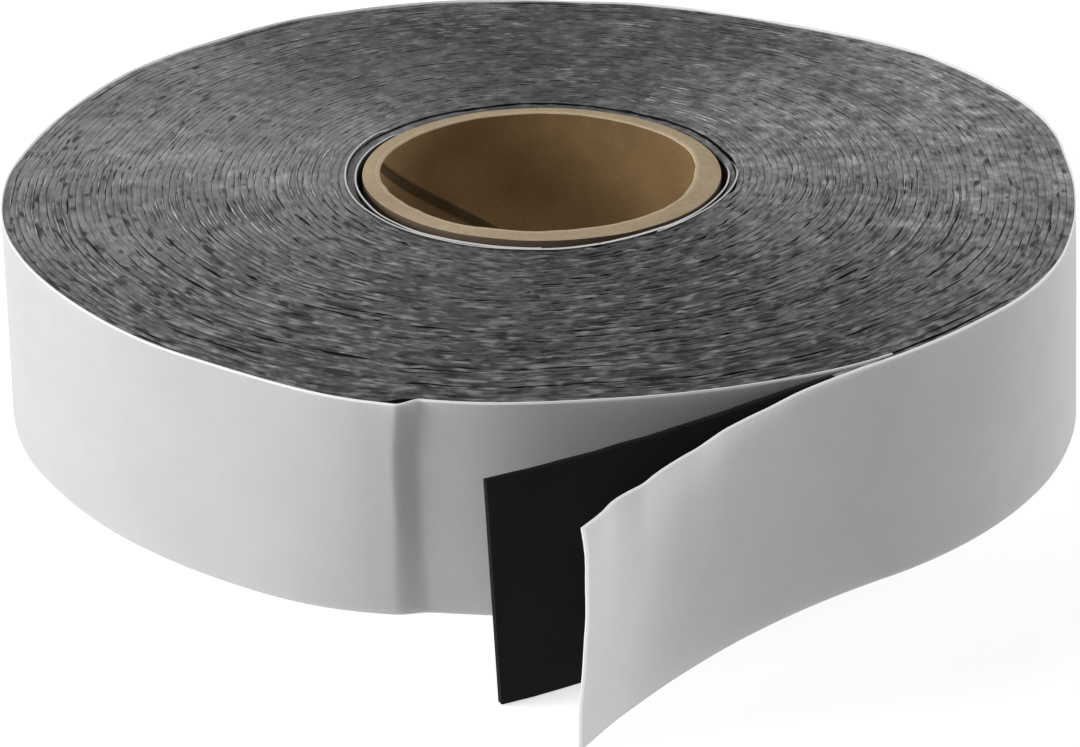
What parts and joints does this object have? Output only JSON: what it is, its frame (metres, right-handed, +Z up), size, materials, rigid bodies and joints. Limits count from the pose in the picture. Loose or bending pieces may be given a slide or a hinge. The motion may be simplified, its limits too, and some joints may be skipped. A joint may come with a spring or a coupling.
{
  "type": "roll of butyl tape",
  "caption": "Roll of black butyl sealing tape with a pale release liner on a cardboard core, lying flat with its strip and liner end peeled open.",
  "frame": {"origin": "under the middle of the whole part's box, on the plane that the roll lies on", "axes": "+Z up along the roll's axis, -Y towards the peeled free ends, +X to the right seen from the free ends' side"},
  "size_m": [0.2516, 0.3048, 0.0512],
  "materials": {
    "butyl": "matt black, slightly smeared",
    "liner_paper": "smooth, faint sheen",
    "cardboard": "matt"
  },
  "bodies": {
    "root": {"cardboard_core": "cardboard", "butyl_tape": "butyl", "release_liner": "liner_paper"}
  },
  "joints": []
}
